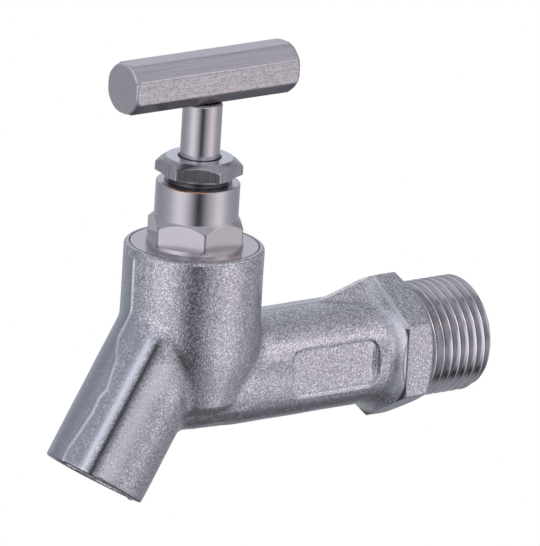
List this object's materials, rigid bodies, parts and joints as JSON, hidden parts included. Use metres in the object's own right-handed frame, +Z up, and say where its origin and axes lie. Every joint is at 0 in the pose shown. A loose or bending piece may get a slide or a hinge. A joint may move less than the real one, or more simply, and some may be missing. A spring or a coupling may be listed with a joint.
{
  "type": "bib tap",
  "caption": "Cast stainless bib tap with a sloping plain spout, threaded wall inlet behind a hexagon, and a bar handle on a screw-down spindle.",
  "frame": {"origin": "on the inlet axis, in the plane where the hexagon ends and the inlet thread begins", "axes": "+Y out of the threaded inlet towards the wall, +Z up along the spindle, spout leaning to -Y, panel on the +X side"},
  "size_m": [0.0252, 0.0883, 0.0814],
  "materials": {
    "cast_steel": "bead-blasted cast stainless steel with a fine grain",
    "turned_steel": "satin turned stainless steel",
    "nut_steel": "milled stainless steel, a little darker",
    "bar_steel": "drawn bar with lengthwise lines",
    "spring_steel": "spring steel",
    "packing": "white packing rings",
    "gasket": "pale flat gasket",
    "washer": "black rubber"
  },
  "bodies": {
    "tap": {"tap_body": "cast_steel", "bonnet": "turned_steel", "bonnet_gasket": "gasket", "packing_washer": "turned_steel", "packing_ring_lower": "packing", "packing_ring_middle": "packing", "packing_ring_upper": "packing", "gland_follower": "turned_steel", "gland_nut": "nut_steel"},
    "valve_disc": {"disc_holder": "turned_steel", "disc_clip": "spring_steel", "seat_washer": "washer", "washer_nut": "nut_steel"},
    "spindle": {"spindle": "turned_steel", "tee_handle": "bar_steel"}
  },
  "joints": [
    {"name": "disc_lift", "type": "slide", "parent": "tap", "child": "valve_disc", "axis": [0, 0, 1], "range_m": [0, 0.003]},
    {"name": "spindle_turn", "type": "hinge", "parent": "valve_disc", "child": "spindle", "pos_m": [0, -0.0468, 0], "axis": [0, 0, 1], "range_deg": [0, 720]}
  ],
  "couplings": [
    {"joint": "spindle_turn", "follows": "disc_lift", "rad_per_m": 4188.8}
  ]
}
